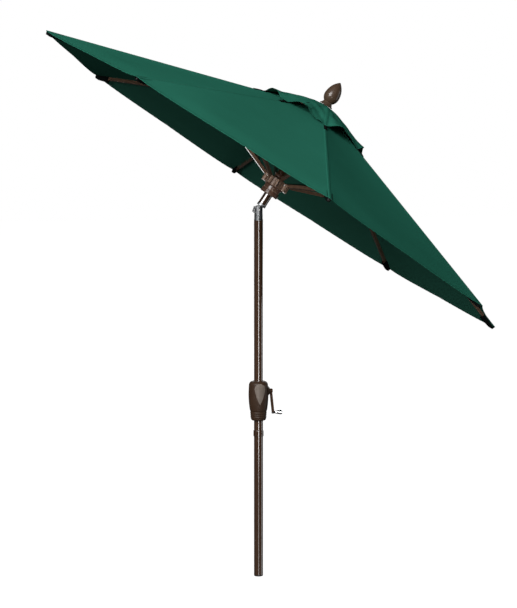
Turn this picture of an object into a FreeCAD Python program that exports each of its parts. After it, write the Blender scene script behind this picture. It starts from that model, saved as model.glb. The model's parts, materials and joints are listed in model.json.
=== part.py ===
import FreeCAD, Part
import math
import os

import Sketcher
from FreeCAD import Placement, Rotation, Vector

# Tilting, crank-lifted umbrella with an octagonal canopy.
# Row frame: origin at the centre of the pole's foot, +Z up the pole, +X the way the head leans,
# +Y to the far side.  Everything above the tilt knuckle is drawn upright in its own frame, whose
# origin is the tilt pin, and is then leaned over by the tilt angle.

SIZES = {
    # poles
    "pole_diameter": (38.1, "outside diameter of every pole tube"),
    "pole_wall": (1.5, "wall of every pole tube"),
    "pivot_height": (1565.0, "foot to tilt pin"),
    "tilt_angle": (33.4, "lean of the head from upright, degrees"),
    "plug_flange": (6.0, "foot plug below the tube"),
    "plug_depth": (40.0, "foot plug inside the tube"),
    "neck_length": (78.0, "reduced end of the lower tube inside the upper one"),
    "collar_bottom": (604.0, "lower edge of the pole joint collar, where the two tubes meet"),
    "collar_height": (26.0, "height of the pole joint collar"),
    "collar_diameter": (43.0, "outside of the pole joint collar"),
    # crank housing
    "housing_bottom": (671.0, "lower end of the crank housing"),
    "housing_height": (169.0, "height of the crank housing"),
    "housing_wall": (3.0, "shell of the crank housing"),
    "band_radius": (34.0, "radius of the ribbed lower band"),
    "body_radius": (36.5, "radius just above the step"),
    "shoulder_radius": (41.5, "largest radius of the crank housing"),
    "shoulder_drop": (33.0, "upper end of the housing down to its largest radius"),
    "shoulder_round": (17.0, "radius of the housing's rounded upper edge"),
    "step_height": (43.0, "lower end of the housing up to the step above the band"),
    "crank_height": (797.0, "foot to the crank axis"),
    "shaft_radius": (5.0, "crank shaft"),
    "spool_radius": (12.0, "drum that the lifting cord winds on"),
    "boss_end": (48.0, "pole axis out to the face of the conical boss"),
    "bushing": (1.6, "thickness of the bushing on the boss"),
    "boss_root": (24.0, "radius of the conical boss where it leaves the housing"),
    "boss_tip": (13.0, "radius of the conical boss at its face"),
    "screw_across": (25.0, "pole axis out to the housing screws"),
    "screw_low": (731.0, "foot to the lower housing screws"),
    "screw_high": (807.0, "foot to the upper housing screws"),
    "screw_radius": (1.6, "shank of a housing screw"),
    "screw_head": (3.1, "radius of a housing screw's head"),
    "screw_seat": (15.0, "pole axis back to the seats of the screw heads"),
    "arm_hub": (9.0, "crank arm hub along the shaft"),
    "arm_hub_radius": (9.5, "crank arm hub"),
    "arm_width": (11.0, "crank arm across, seen along the shaft"),
    "arm_thickness": (10.5, "crank arm through, along the shaft"),
    "arm_length": (93.0, "crank axis down to the knob axis"),
    "arm_lean": (6.1, "outward lean of the crank arm, degrees"),
    "axle_radius": (2.5, "axle of the knob"),
    "axle_collar": (10.5, "bright collar on the end of the arm, along the axle"),
    "knob_radius": (10.4, "knob at its widest"),
    "knob_length": (33.0, "knob along its axle"),
    # tilt knuckle
    "knuckle_radius": (17.75, "cast knuckle"),
    "knuckle_drop": (44.0, "tilt pin down to the end of the main pole"),
    "spigot_depth": (60.0, "spigots of the knuckle inside the poles"),
    "tongue_reach": (11.0, "radius of the knuckle's tongue about the tilt pin"),
    "fork_gap": (14.0, "between the ears of the fork"),
    "tilt_pin_radius": (4.0, "tilt pin"),
    "knuckle_collar": (18.2, "tilt pin up to the collar under the upper pole"),
    "upper_pole_start": (29.0, "tilt pin up to the upper pole"),
    "upper_pole_end": (474.0, "tilt pin up to the end of the upper pole"),
    # ribs and struts
    "rib_count": (8.0, "ribs, struts and canopy panels"),
    "rib_slope": (17.9, "droop of an open rib, degrees"),
    "rib_pin_radius": (32.0, "pole axis out to the rib pins"),
    "rib_pin_height": (486.7, "tilt pin up to the rib pins"),
    "rib_width": (10.5, "rib tube across"),
    "rib_depth": (14.0, "rib tube top to bottom"),
    "rib_wall": (1.0, "wall of the rib and strut tubes"),
    "rib_length": (1154.0, "rib pin to the end of the rib tube"),
    "bracket_place": (510.0, "rib pin along the rib to the strut pin"),
    "bracket_drop": (15.0, "rib centre line down to the strut pin"),
    "strut_pin_radius": (50.0, "pole axis out to the runner pins"),
    "strut_pin_height": (143.0, "tilt pin up to the runner pins"),
    "strut_width": (12.0, "strut tube across"),
    "strut_depth": (13.0, "strut tube top to bottom"),
    "pin_radius": (2.4, "rib and strut pins"),
    "tube_start": (14.0, "rib or strut pin out to the start of its tube"),
    "tip_grip": (52.0, "rib tip cap over the end of the rib"),
    "tip_wall": (1.6, "wall of a rib tip cap"),
    "tip_nose": (5.2, "radius of the nose of a rib tip cap"),
    "tongue_width": (6.0, "flattened ends of ribs and struts"),
    "tongue_depth": (10.0, "height of the flattened ends"),
    "running_gap": (0.08, "radial clearance of a turning fit"),
    "open_pivot_gap": (0.6, "radial clearance where the linkage is opened"),
    "slot_width": (6.6, "slots in hub and runner"),
    # canopy
    "canopy_radius": (1143.0, "pole axis to a canopy corner"),
    "vent_radius": (120.0, "vent opening in the main canopy, to its corners"),
    "cloth": (1.5, "thickness of the canopy solids"),
    "cloth_lift": (8.0, "rib centre line up to the underside of the cloth"),
    "panel_gap_rim": (9.0, "half gap between neighbouring solids at the rim"),
    "panel_gap_vent": (1.6, "half gap between neighbouring solids at the vent"),
    "seam_gap": (0.1, "half gap between the two panels sewn together over a rib"),
    "cap_radius": (255.0, "vent cap, to its corners"),
    "cap_rim_height": (428.5, "tilt pin up to the vent cap's corners"),
    "cap_top_height": (517.0, "tilt pin up to the top of the vent cap"),
    "cap_top_radius": (30.0, "flat top of the vent cap, to its corners"),
    # runner, hub, finial
    "runner_bottom": (75.0, "tilt pin up to the runner's lower face"),
    "flange_height": (20.0, "runner's lower flange"),
    "flange_radius": (39.5, "runner's lower flange"),
    "waist_radius": (36.0, "runner between its flange and its lugs"),
    "crown_bottom": (117.0, "tilt pin up to the underside of the lugs"),
    "crown_top": (150.0, "tilt pin up to the top of the lugs"),
    "crown_radius": (46.5, "runner between the lugs"),
    "lug_reach": (50.0, "pole axis to the centre of a lug's round end"),
    "lug_width": (23.0, "lug across"),
    "runner_top": (172.0, "tilt pin up to the runner's upper end"),
    "slide_gap": (0.5, "radial clearance of the runner on the pole"),
    "sleeve_depth": (34.0, "top hub's sleeve down the pole"),
    "stud_radius": (8.0, "stud of the top hub, up into the finial"),
    "stud_height": (20.0, "stud above the finial's lower face"),
    "pulley_drop": (22.0, "end of the upper pole down to the pulley pin"),
    "pulley_pin_radius": (2.5, "pulley pin"),
    "hub_radius": (41.0, "top hub disc"),
    "hub_disc_height": (26.0, "thickness of the top hub disc"),
    "finial_base": (520.0, "tilt pin up to the finial's lower face"),
    "finial_flange": (30.5, "radius of the finial's lower flange"),
    "finial_neck": (20.0, "radius of the finial's neck"),
    "finial_neck_height": (17.0, "neck above the finial's lower face"),
    "finial_bulb": (33.6, "largest radius of the finial"),
    "finial_bulb_height": (47.0, "widest level above the finial's lower face"),
    "finial_flare": (34.0, "radius of the hollow curve of the flange"),
    "finial_belly": (40.0, "radius of the bulb's curve below its widest level"),
    "finial_shoulder": (84.0, "radius of the curve from the widest level to the point"),
    "finial_height": (113.0, "finial from its lower face to its point"),
}


class Dim:
    """A number together with the spreadsheet expression that gives it."""

    def __init__(self, value, text):
        self.value = float(value)
        self.text = text

    def __add__(self, other):
        other = as_dim(other)
        return Dim(self.value + other.value, f"({self.text} + {other.text})")

    def __sub__(self, other):
        other = as_dim(other)
        return Dim(self.value - other.value, f"({self.text} - {other.text})")

    def __mul__(self, other):
        other = as_dim(other)
        return Dim(self.value * other.value, f"{self.text} * {other.text}")

    def __truediv__(self, other):
        other = as_dim(other)
        return Dim(self.value / other.value, f"{self.text} / ({other.text})")

    def __neg__(self):
        return Dim(-self.value, f"(0 - {self.text})")

    def __radd__(self, other):
        return as_dim(other) + self

    def __rsub__(self, other):
        return as_dim(other) - self

    def __rmul__(self, other):
        return as_dim(other) * self


def as_dim(number):
    if isinstance(number, Dim):
        return number
    return Dim(number, f"({number})")


def sine(angle):
    return Dim(math.sin(math.radians(angle.value)), f"sin({angle.text} * 1 deg)")


def cosine(angle):
    return Dim(math.cos(math.radians(angle.value)), f"cos({angle.text} * 1 deg)")


def tangent(angle):
    return Dim(math.tan(math.radians(angle.value)), f"tan({angle.text} * 1 deg)")


doc = FreeCAD.newDocument("tilting_umbrella")
sheet = doc.addObject("Spreadsheet::Sheet", "Sizes")
for row, (alias, (number, meaning)) in enumerate(SIZES.items(), start=1):
    sheet.set(f"A{row}", meaning)
    sheet.set(f"B{row}", str(number))
    sheet.setAlias(f"B{row}", alias)
doc.recompute()


def size(alias):
    return Dim(sheet.get(alias), f"Sizes.{alias}")


X_AXIS = Vector(1, 0, 0)
Y_AXIS = Vector(0, 1, 0)
Z_AXIS = Vector(0, 0, 1)
ALONG_X = Rotation(Z_AXIS, X_AXIS)
ALONG_Y = Rotation(Z_AXIS, Y_AXIS)
UPRIGHT = Rotation()
nodes = {}


# ---------------------------------------------------------------- drawing helpers


def bind(thing, **dims):
    for prop, dim in dims.items():
        thing.setExpression(prop, as_dim(dim).text)


def put(thing, x=0, y=0, z=0, turn=UPRIGHT):
    """Places a primitive, each coordinate driven by the sheet."""
    thing.Placement = Placement(Vector(), turn)
    for axis, dim in zip("xyz", (x, y, z)):
        thing.setExpression(f"Placement.Base.{axis}", as_dim(dim).text)
    return thing


def cylinder(name, radius, height, x=0, y=0, z=0, turn=UPRIGHT, angle=360):
    thing = doc.addObject("Part::Cylinder", name)
    bind(thing, Radius=radius, Height=height)
    thing.Angle = angle
    return put(thing, x, y, z, turn)


def box(name, length, width, height, x=0, y=0, z=0, turn=UPRIGHT):
    """A box whose y is centred: x and z give its near lower edge."""
    width = as_dim(width)
    thing = doc.addObject("Part::Box", name)
    bind(thing, Length=length, Width=width, Height=height)
    return put(thing, x, y - width / 2, z, turn)


def cut(name, base, *tools):
    """The base less every tool."""
    thing = doc.addObject("Part::Cut", name)
    thing.Base = base
    thing.Tool = tools[0] if len(tools) == 1 else fuse(f"{name}_tools", *tools)
    return thing


def fuse(name, *pieces):
    thing = doc.addObject("Part::MultiFuse", name)
    thing.Shapes = list(pieces)
    thing.Refine = True
    return thing


def common(name, first, second):
    thing = doc.addObject("Part::MultiCommon", name)
    thing.Shapes = [first, second]
    return thing


def compound(name, *pieces):
    thing = doc.addObject("Part::Compound", name)
    thing.Links = list(pieces)
    return thing


def arc_middle(start, end, radius):
    """Halfway point of the lesser arc: a positive radius turns left on its way."""
    chord = end - start
    left = Vector(-chord.y, chord.x, 0).normalize()
    half = chord.Length / 2
    rise = math.sqrt(max(radius * radius - half * half, 0))
    side = math.copysign(1, radius)
    return (start + end) / 2 + left * side * (rise - abs(radius))


def outline(sketch, corners):
    """A closed outline.  A corner is (across, up) for a straight edge to the next one, or
    (across, up, radius) for an arc, positive when it turns left."""
    spots = [Vector(as_dim(c[0]).value, as_dim(c[1]).value, 0) for c in corners]
    count = len(corners)
    ends = []
    for i, corner in enumerate(corners):
        start, end = spots[i], spots[(i + 1) % count]
        if len(corner) == 3:
            middle = arc_middle(start, end, as_dim(corner[2]).value)
            edge = sketch.addGeometry(Part.Arc(start, middle, end), False)
            first = 1 if sketch.getPoint(edge, 1).distanceToPoint(start) < 1e-6 else 2
            ends.append((edge, first, 3 - first))
        else:
            edge = sketch.addGeometry(Part.LineSegment(start, end), False)
            ends.append((edge, 1, 2))
    for i in range(count):
        edge, _, last = ends[i]
        following, first, _ = ends[(i + 1) % count]
        sketch.addConstraint(Sketcher.Constraint("Coincident", edge, last, following, first))
    for (edge, first, _), corner in zip(ends, corners):
        for kind, axis, dim in (("DistanceX", -2, corner[0]), ("DistanceY", -1, corner[1])):
            dim = as_dim(dim)
            if abs(dim.value) < 1e-9:
                rule = Sketcher.Constraint("PointOnObject", edge, first, axis)
                sketch.addConstraint(rule)
                continue
            rule = Sketcher.Constraint(kind, -1, 1, edge, first, dim.value)
            sketch.setExpression(f"Constraints[{sketch.addConstraint(rule)}]", dim.text)
        if len(corner) == 3:
            radius = as_dim(corner[2])
            if radius.value < 0:
                radius = -radius
            rule = Sketcher.Constraint("Radius", edge, radius.value)
            sketch.setExpression(f"Constraints[{sketch.addConstraint(rule)}]", radius.text)


def sketch_in(body, role, name):
    """A sketch on one of the body's own planes."""
    sketch = body.newObject("Sketcher::SketchObject", name)
    plane = [f for f in body.Origin.OriginFeatures if f.Role == role][0]
    sketch.AttachmentSupport = [(plane, "")]
    sketch.MapMode = "FlatFace"
    return sketch


def turned(name, corners, about="V_Axis", angle=360, flip=False):
    """A body turned from a half section drawn in the XZ plane."""
    body = doc.addObject("PartDesign::Body", name)
    sketch = sketch_in(body, "XZ_Plane", f"{name}_section")
    outline(sketch, corners)
    turn = body.newObject("PartDesign::Revolution", f"{name}_turn")
    turn.Profile = sketch
    turn.ReferenceAxis = (sketch, [about])
    turn.Angle = angle
    turn.Reversed = flip
    sketch.Visibility = False
    return body


def padded(name, role, corners, length, flip=False):
    """A body raised from an outline on one of its origin planes."""
    body = doc.addObject("PartDesign::Body", name)
    sketch = sketch_in(body, role, f"{name}_outline")
    outline(sketch, corners)
    pad = body.newObject("PartDesign::Pad", f"{name}_pad")
    pad.Profile = sketch
    bind(pad, Length=length)
    pad.Reversed = flip
    return body


def node(label, thing, frame=None):
    """Names a finished sub-part and sets it in its frame."""
    thing.Label = label
    if frame is not None:
        thing.Placement = frame
    nodes[label] = thing
    return thing


# ---------------------------------------------------------------- frames

head_frame = Placement(
    Vector(0, 0, size("pivot_height").value), Rotation(Y_AXIS, size("tilt_angle").value)
)


def around(step, radius, height, droop):
    """The frame of a rib or strut: its X axis runs outward, lowered by the droop angle."""
    turn = Placement(Vector(), Rotation(Z_AXIS, 360 * step / RIBS))
    pin = Placement(Vector(radius.value, 0, height.value), Rotation(Y_AXIS, droop))
    return head_frame * turn * pin


RIBS = int(size("rib_count").value)
THROUGH = 60  # a hole's tool, longer than anything it is cut through
PRESS_FIT = 0.1
NECK_TAPER = 3
SCREW_BITE = 14  # housing screws in the front half
pole_radius = size("pole_diameter") / 2
pole_bore = pole_radius - size("pole_wall")
pin_hole = size("pin_radius") + size("running_gap")
shaft_bore = size("shaft_radius") + size("running_gap")


# ---------------------------------------------------------------- poles


def lower_pole():
    """Straight tube with a reduced neck that plugs into the main pole."""
    wall = size("pole_wall")
    neck = pole_bore - 0.25  # slides freely in the main pole
    foot, joint = size("plug_flange"), size("collar_bottom")
    top = joint + size("neck_length")
    corners = [
        (pole_bore, foot),
        (pole_radius, foot),
        (pole_radius, joint),
        (neck, joint + NECK_TAPER),
        (neck, top),
        (neck - wall, top),
        (neck - wall, joint + 2),
        (pole_bore, joint - 1),
    ]
    node("lower_pole", turned("lower_pole_tube", corners))


def foot_plug():
    """Moulded plug with a rounded flange that the pole stands on."""
    flange, top = size("plug_flange"), size("plug_flange") + size("plug_depth")
    edge, wall, fit = 3, 3, pole_bore - 0.05
    corners = [
        (0, 0),
        (pole_radius - edge, 0, edge),
        (pole_radius, edge),
        (pole_radius, flange),
        (fit, flange),
        (fit, top),
        (fit - wall, top),
        (fit - wall, flange),
        (0, flange),
    ]
    node("foot_plug", turned("foot_plug_body", corners))


def joint_collar():
    """Ring over the joint of the two pole tubes."""
    outer, bore = size("collar_diameter") / 2, pole_radius + 0.05
    low, high = size("collar_bottom"), size("collar_bottom") + size("collar_height")
    edge = 1.5
    corners = [
        (bore, low),
        (outer - edge, low, edge),
        (outer, low + edge),
        (outer, high - edge, edge),
        (outer - edge, high),
        (bore, high),
    ]
    node("joint_collar", turned("joint_collar_ring", corners))


def main_pole():
    """Straight tube from the pole joint to the tilt knuckle, drilled for the crank shaft."""
    low = size("collar_bottom") + NECK_TAPER + 0.2
    high = size("pivot_height") - size("knuckle_drop")
    corners = [(pole_bore, low), (pole_radius, low), (pole_radius, high), (pole_bore, high)]
    hole_radius = size("shaft_radius") + 1.5
    shaft_hole = cylinder(
        "shaft_hole", hole_radius, THROUGH, x=-THROUGH / 2, z=size("crank_height"), turn=ALONG_X
    )
    node("main_pole", cut("main_pole_drilled", turned("main_pole_tube", corners), shaft_hole))


# ---------------------------------------------------------------- crank housing


def housing_corners(grow):
    """Outer line of the housing from its lower to its upper end, moved outward by grow."""
    foot = size("housing_bottom")
    top = foot + size("housing_height")
    band, above, shoulder = size("band_radius"), size("body_radius"), size("shoulder_radius")
    step = foot + size("step_height")
    corners = [
        (band - 12 + grow, foot),
        (band - 6 + grow, foot + 2, 9),
        (band - 1.6 + grow, foot + 10),
    ]
    rib_pitch, rib_half = 8.8, 3.9
    for ring in range(3):
        level = foot + 16.5 + rib_pitch * ring
        edge = band - 1.2 + 0.6 * ring + grow
        corners += [(edge, level - rib_half, 7), (edge, level + rib_half)]
    corners += [
        (band + 0.2 + grow, step - 4),
        (band + 0.8 + grow, step - 1),
        (above - 0.8 + grow, step),
        (above + grow, step + 2, 400),
        (shoulder + grow, top - size("shoulder_drop"), 140),
        (shoulder - 1 + grow, top - size("shoulder_round"), size("shoulder_round") + grow),
        (band - 10 + grow, top),
    ]
    return corners


def housing_half(label, flip):
    """Half shell with its bearing, screw posts and half of the conical boss."""
    wall, foot = size("housing_wall"), size("housing_bottom")
    top = foot + size("housing_height")
    bore = pole_radius + 0.1
    side = -1 if flip else 1
    outer = housing_corners(as_dim(0))
    inner = [
        (bore, top),
        (bore, top - 8),
        (size("shoulder_radius") - wall - 1, top - 18),
        (size("shoulder_radius") - wall, top - size("shoulder_drop")),
        (size("body_radius") - wall, foot + size("step_height") + 3),
        (size("band_radius") - wall - 1, foot + size("step_height") - 3),
        (size("band_radius") - wall - 2, foot + 12),
        (bore, foot + 8),
        (bore, foot),
    ]
    shell = turned(f"{label}_shell", outer + inner, angle=180, flip=flip)
    axis, shoulder = size("crank_height"), size("shoulder_radius")
    boss = doc.addObject("Part::Cone", f"{label}_boss")
    boss_start = shoulder - 2.8
    bind(boss, Radius1=size("boss_root"), Radius2=size("boss_tip"))
    bind(boss, Height=size("boss_end") - boss_start)
    put(boss, boss_start, 0, axis, ALONG_X)
    bearing = cylinder(f"{label}_bearing", 9, 10, x=2 - shoulder, z=axis, turn=ALONG_X)
    posts, holes = [], []
    for level, across, reach in screw_places():
        spot = {"x": across, "z": level, "turn": ALONG_Y}
        start = 0 if side > 0 else -reach
        posts.append(cylinder(f"{label}_post", 4, reach, y=start, **spot))
        hole_start, hole_length = (0, reach) if side > 0 else (-SCREW_BITE, SCREW_BITE)
        hole_radius = size("screw_radius") + 0.05
        holes.append(
            cylinder(f"{label}_hole", hole_radius, hole_length, y=hole_start, **spot)
        )
        if side > 0:
            sink = size("screw_head") + 0.2
            holes.append(cylinder(f"{label}_sink", sink, 30, y=size("screw_seat"), **spot))
    keep = box(f"{label}_half", 200, 100, 300, x=-100, y=50 * side, z=foot - 50)
    knobs = common(f"{label}_fittings", fuse(f"{label}_bosses", boss, bearing, *posts), keep)
    shaft_start = 4 - shoulder
    shaft = cylinder(f"{label}_shaft_hole", shaft_bore, 120, x=shaft_start, z=axis, turn=ALONG_X)
    solid = fuse(f"{label}_solid", shell, knobs)
    node(label, cut(f"{label}_cut", solid, shaft, *holes))


def screw_places():
    """Height, distance across and length of post of each housing screw."""
    across = size("screw_across")
    for level, reach in ((size("screw_low"), 22.5), (size("screw_high"), 28.8)):
        yield level, -across, reach
        yield level, across, reach


def housing_inlay():
    """Teardrop panel standing slightly proud of the front half."""
    foot = size("housing_bottom")
    point, shoulder, half_width = foot + 71, foot + 138, 22.5
    teardrop = [
        (0, point, 190),
        (half_width, shoulder, half_width),
        (0, shoulder + half_width, half_width),
        (-half_width, shoulder, 190),
    ]
    prism = padded("inlay_outline", "XZ_Plane", teardrop, 60)
    ends = [(0, foot + size("housing_height")), (0, foot)]
    proud = turned("inlay_proud", housing_corners(0.8) + ends)
    flush = turned("inlay_flush", housing_corners(0) + ends)
    node("housing_inlay", cut("inlay_panel", common("inlay_block", prism, proud), flush))


def housing_screws():
    """Four pan-head screws that hold the back half to the front half."""
    seat, head_height = size("screw_seat"), 2.4
    shank_start = 0.5 - SCREW_BITE
    screws = []
    for level, across, _ in screw_places():
        spot = {"x": across, "z": level, "turn": ALONG_Y}
        length = seat - shank_start + 0.5
        shank = cylinder("screw_shank", size("screw_radius"), length, y=shank_start, **spot)
        head = cylinder("screw_head", size("screw_head"), head_height, y=seat, **spot)
        screws.append(fuse("screw", shank, head))
    node("housing_screws", compound("screw_set", *screws))


# ---------------------------------------------------------------- crank

hub_start = size("boss_end") + size("bushing") + 0.15


def knob_height():
    return size("crank_height") - size("arm_length") * cosine(size("arm_lean"))


def arm_middle(below):
    """Distance from the pole axis to the middle of the arm, this far down from its hub."""
    return hub_start + size("arm_hub") / 2 - 1.5 + below * tangent(size("arm_lean"))


def knob_start():
    """Pole axis out to the inner face of the knob."""
    return arm_middle(size("arm_length")) + size("axle_collar") / 2


def crank_shaft():
    """Steel shaft across the housing and the pole, with a riveted end outside the arm."""
    reach = size("shoulder_radius") - 5
    spot = {"z": size("crank_height"), "turn": ALONG_X}
    length = reach + hub_start + size("arm_hub")
    bar = cylinder("shaft_bar", size("shaft_radius"), length, x=-reach, **spot)
    head = cylinder("shaft_head", 7, 1.6, x=hub_start + size("arm_hub"), **spot)
    node("crank_shaft", fuse("shaft_solid", bar, head))


def cord_spool():
    """Flanged drum inside the pole."""
    drum, bore, half, flange = size("spool_radius"), size("shaft_radius"), 8.5, 2.5
    corners = [
        (-half, bore),
        (half, bore),
        (half, drum + flange),
        (half - 1.5, drum + flange),
        (half - 1.5, drum),
        (1.5 - half, drum),
        (1.5 - half, drum + flange),
        (-half, drum + flange),
    ]
    frame = Placement(Vector(0, 0, size("crank_height").value), UPRIGHT)
    node("cord_spool", turned("spool_drum", corners, about="H_Axis"), frame)


def crank_bushing():
    """Bright washer between the boss and the crank arm."""
    spot = {"z": size("crank_height"), "turn": ALONG_X}
    radius = size("arm_hub_radius") + 0.5
    ring = cylinder("bushing_ring", radius, size("bushing"), x=size("boss_end"), **spot)
    hole = cylinder("bushing_hole", shaft_bore, THROUGH, x=size("boss_end") - 4, **spot)
    node("crank_bushing", cut("bushing_washer", ring, hole))


def arm_bar(name, grow):
    """Stout bar leaning outward, from inside the hub down to the knob axis."""
    thick = size("arm_thickness") / 2 + grow
    top, low = size("crank_height"), knob_height() - 2
    length = size("arm_length")
    corners = [
        (arm_middle(length) - thick, low),
        (arm_middle(length) + thick, low),
        (arm_middle(0) + thick, top),
        (arm_middle(0) - thick, top),
    ]
    width = size("arm_width") + 2 * grow
    bar = padded(name, "XZ_Plane", corners, width)
    bar.Placement = Placement(Vector(0, width.value / 2, 0), UPRIGHT)
    return bar


def crank_arm():
    """Arm with a round hub on the shaft."""
    spot = {"z": size("crank_height"), "turn": ALONG_X}
    hub_end, spare = hub_start + size("arm_hub"), 30
    hub = cylinder("arm_hub", size("arm_hub_radius"), size("arm_hub"), x=hub_start, **spot)
    bore = cylinder("arm_bore", size("shaft_radius"), THROUGH, x=hub_start - spare, **spot)
    face = cylinder("arm_face", 16, spare, x=hub_start - spare, **spot)
    outer_face = cylinder("arm_outer_face", 9, spare, x=hub_end, **spot)
    axle_hole = cylinder(
        "arm_axle_hole", size("axle_radius"), THROUGH, x=spare, z=knob_height(), turn=ALONG_X
    )
    blank = fuse("arm_blank", arm_bar("arm_bar", as_dim(0)), hub)
    node("crank_arm", cut("arm_body", blank, bore, face, outer_face, axle_hole))


def knob_axle():
    """Shoulder screw of the knob, with a bright collar that grips the end of the arm."""
    spot = {"z": knob_height(), "turn": ALONG_X}
    start, length, grip = knob_start(), size("axle_collar"), 9
    collar = cylinder("axle_collar", 6, length, x=start - length - 0.3, **spot)
    seat = cut("axle_collar_seat", collar, arm_bar("axle_seat", as_dim(0.02)))
    rod_length = size("knob_length") + grip - 1
    axle = cylinder("axle_rod", size("axle_radius"), rod_length, x=start - grip, **spot)
    cap = cylinder("axle_cap", 4.5, 1.5, x=start + size("knob_length") - 1.6, **spot)
    node("knob_axle", fuse("axle_solid", seat, axle, cap))


def crank_knob():
    """Flared knob that turns on its axle."""
    length, wide, neck = size("knob_length"), size("knob_radius"), 5.3
    bore, recess = size("axle_radius") + size("running_gap"), 5
    corners = [
        (0, bore),
        (length - 2, bore),
        (length - 2, recess),
        (length, recess),
        (length, wide - 3.6),
        (length - 3.5, wide, 170),
        (4, neck),
        (0, neck),
    ]
    frame = Placement(Vector(knob_start().value, 0, knob_height().value), UPRIGHT)
    node("crank_knob", turned("knob_body", corners, about="H_Axis"), frame)


# ---------------------------------------------------------------- tilt knuckle


def knuckle_lower():
    """Cast fork with a spigot in the main pole; its ears are round about the tilt pin."""
    pivot, radius = size("pivot_height"), size("knuckle_radius")
    foot, depth = pivot - size("knuckle_drop"), size("spigot_depth")
    spigot = cylinder("fork_spigot", pole_bore - PRESS_FIT, depth, z=foot - depth)
    rim = cylinder("fork_rim", pole_radius, 2.5, z=foot)
    lower = cylinder("fork_lower", radius, size("knuckle_drop"), z=foot)
    upper = cylinder("fork_upper", radius, radius, z=pivot)
    across = {"y": -THROUGH / 2, "z": pivot, "turn": ALONG_Y}
    round_top = cylinder("fork_round", radius, THROUGH, **across)
    ears = common("fork_ears", upper, round_top)
    rivet = cylinder("fork_rivet", 3.2, 1.6, y=-radius - 0.8, z=pivot - 25, turn=ALONG_Y)
    blank = fuse("fork_blank", spigot, rim, lower, ears, rivet)
    gap = box("fork_gap", THROUGH, size("fork_gap"), THROUGH, x=-THROUGH / 2, z=pivot - 19)
    hole = cylinder("fork_pin_hole", size("tilt_pin_radius") + 0.02, THROUGH, **across)
    node("knuckle_lower", cut("fork", blank, gap, hole))


def tilt_pin():
    """Cross pin of the tilt joint."""
    length = 2 * size("knuckle_radius") - 1
    pin = cylinder(
        "tilt_pin_bar",
        size("tilt_pin_radius"),
        length,
        y=-length / 2,
        z=size("pivot_height"),
        turn=ALONG_Y,
    )
    node("tilt_pin", pin)


def tilt_button():
    """Wedge-shaped release on the high side of the fork."""
    pivot = size("pivot_height")
    inner, outer = size("knuckle_radius") - 3.2, size("knuckle_radius") + 7.8
    corners = [
        (-inner, pivot - 14),
        (-inner, pivot + 12),
        (-inner - 3.5, pivot + 16),
        (-outer, pivot - 5, 3),
        (-outer + 1.6, pivot - 9),
        (-inner - 3, pivot - 14),
    ]
    width = size("fork_gap") - 0.6
    wedge = padded("button_wedge", "XZ_Plane", corners, width)
    node("tilt_button", wedge, Placement(Vector(0, width.value / 2, 0), UPRIGHT))


def knuckle_upper():
    """Tongue on the tilt pin, with a collar and a spigot for the upper pole."""
    collar, start = size("knuckle_collar"), size("upper_pole_start")
    reach, width = size("tongue_reach"), size("fork_gap") - 0.6
    eye = cylinder("tongue_eye", reach, width, y=-width / 2, turn=ALONG_Y)
    neck = box("tongue_neck", 2 * reach, width, collar, x=-reach)
    ring = cylinder("tongue_collar", pole_radius + 0.6, start - collar, z=collar)
    spigot = cylinder("tongue_spigot", pole_bore - PRESS_FIT, size("spigot_depth"), z=start)
    bore = size("tilt_pin_radius") + size("running_gap")
    hole = cylinder("tongue_pin_hole", bore, THROUGH, y=-THROUGH / 2, turn=ALONG_Y)
    blank = fuse("tongue_blank", eye, neck, ring, spigot)
    node("knuckle_upper", cut("tongue", blank, hole), head_frame)


# ---------------------------------------------------------------- head


def upper_pole():
    """Tube from the knuckle to the top hub, drilled for the pulley pin."""
    low, high = size("upper_pole_start"), size("upper_pole_end")
    corners = [(pole_bore, low), (pole_radius, low), (pole_radius, high), (pole_bore, high)]
    bore = size("pulley_pin_radius") + 0.05
    hole = cylinder(
        "pulley_pin_hole", bore, THROUGH, y=-THROUGH / 2, z=pulley_height(), turn=ALONG_Y
    )
    tube = turned("upper_pole_tube", corners)
    node("upper_pole", cut("upper_pole_drilled", tube, hole), head_frame)


def pulley_height():
    return size("upper_pole_end") - size("pulley_drop")


def top_pulley():
    """Grooved wheel that the lifting cord turns over."""
    rim, groove, half = 13, 10.5, 4
    bore = size("pulley_pin_radius") + size("running_gap")
    corners = [
        (bore, -half),
        (rim, -half),
        (rim, -half + 1.2),
        (groove, 0),
        (rim, half - 1.2),
        (rim, half),
        (bore, half),
    ]
    wheel = turned("pulley_wheel", corners)
    centre = Placement(Vector(0, 0, pulley_height().value), ALONG_Y)
    node("top_pulley", wheel, head_frame * centre)


def pulley_pin():
    length = 2 * pole_radius - 0.6
    centre = Placement(Vector(0, -length.value / 2, pulley_height().value), ALONG_Y)
    bar = plain_cylinder("pulley_pin_bar", size("pulley_pin_radius"), length)
    node("pulley_pin", bar, head_frame * centre)


def ring_of(name, make):
    """Copies of one piece, one for each rib, evenly spaced about the pole axis."""
    return [make(f"{name}_{step}", 360 * step / RIBS) for step in range(RIBS)]


def turned_out(thing, heading, x, y, z):
    """Places a primitive in a heading about the pole axis."""
    swing = Rotation(Z_AXIS, heading)
    spot = swing.multVec(Vector(as_dim(x).value, as_dim(y).value, as_dim(z).value))
    thing.Placement = Placement(spot, swing * thing.Placement.Rotation)
    return thing


def plain_box(name, length, width, height):
    thing = doc.addObject("Part::Box", name)
    bind(thing, Length=length, Width=width, Height=height)
    return thing


def plain_cylinder(name, radius, height, turn=UPRIGHT):
    thing = doc.addObject("Part::Cylinder", name)
    bind(thing, Radius=radius, Height=height)
    thing.Placement = Placement(Vector(), turn)
    return thing


def radial_slots(name, inner, bottom, height):
    width = size("slot_width")

    def make(label, heading):
        slot = plain_box(label, 60, width, height)
        return turned_out(slot, heading, inner, -width / 2, bottom)

    return ring_of(name, make)


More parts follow.
